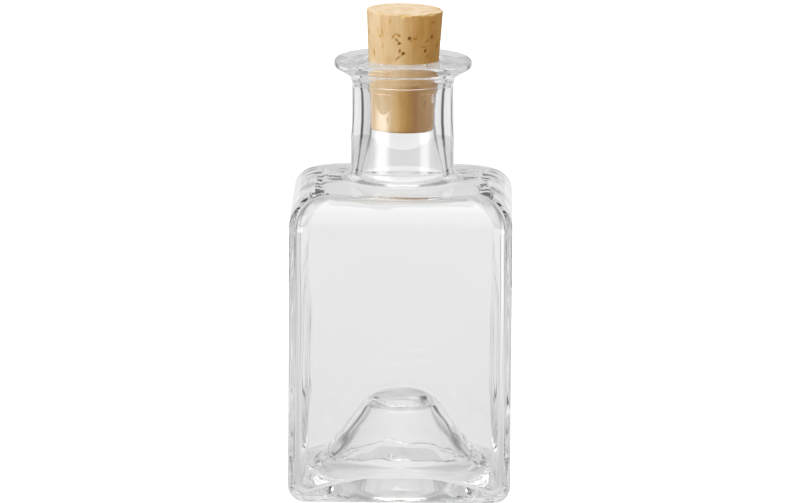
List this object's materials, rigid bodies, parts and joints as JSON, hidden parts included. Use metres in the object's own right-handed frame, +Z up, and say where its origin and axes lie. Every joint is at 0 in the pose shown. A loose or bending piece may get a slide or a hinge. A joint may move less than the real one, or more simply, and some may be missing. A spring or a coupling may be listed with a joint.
{
  "type": "square glass bottle",
  "caption": "Square clear glass bottle with rounded shoulders, a short flanged neck closed by a tapered cork, and a deep cone pushed up into its base. Empty.",
  "frame": {"origin": "middle of the base, on the plane that the bottle stands on", "axes": "+Z up along the neck, the front face looks along -Y, +X to the right seen from the front"},
  "size_m": [0.062, 0.062, 0.1353],
  "materials": {
    "clear_glass": "clear polished flint glass",
    "cork": "natural cork bark, matt and porous"
  },
  "bodies": {
    "root": {"glass_bottle": "clear_glass", "cork": "cork"}
  },
  "joints": []
}
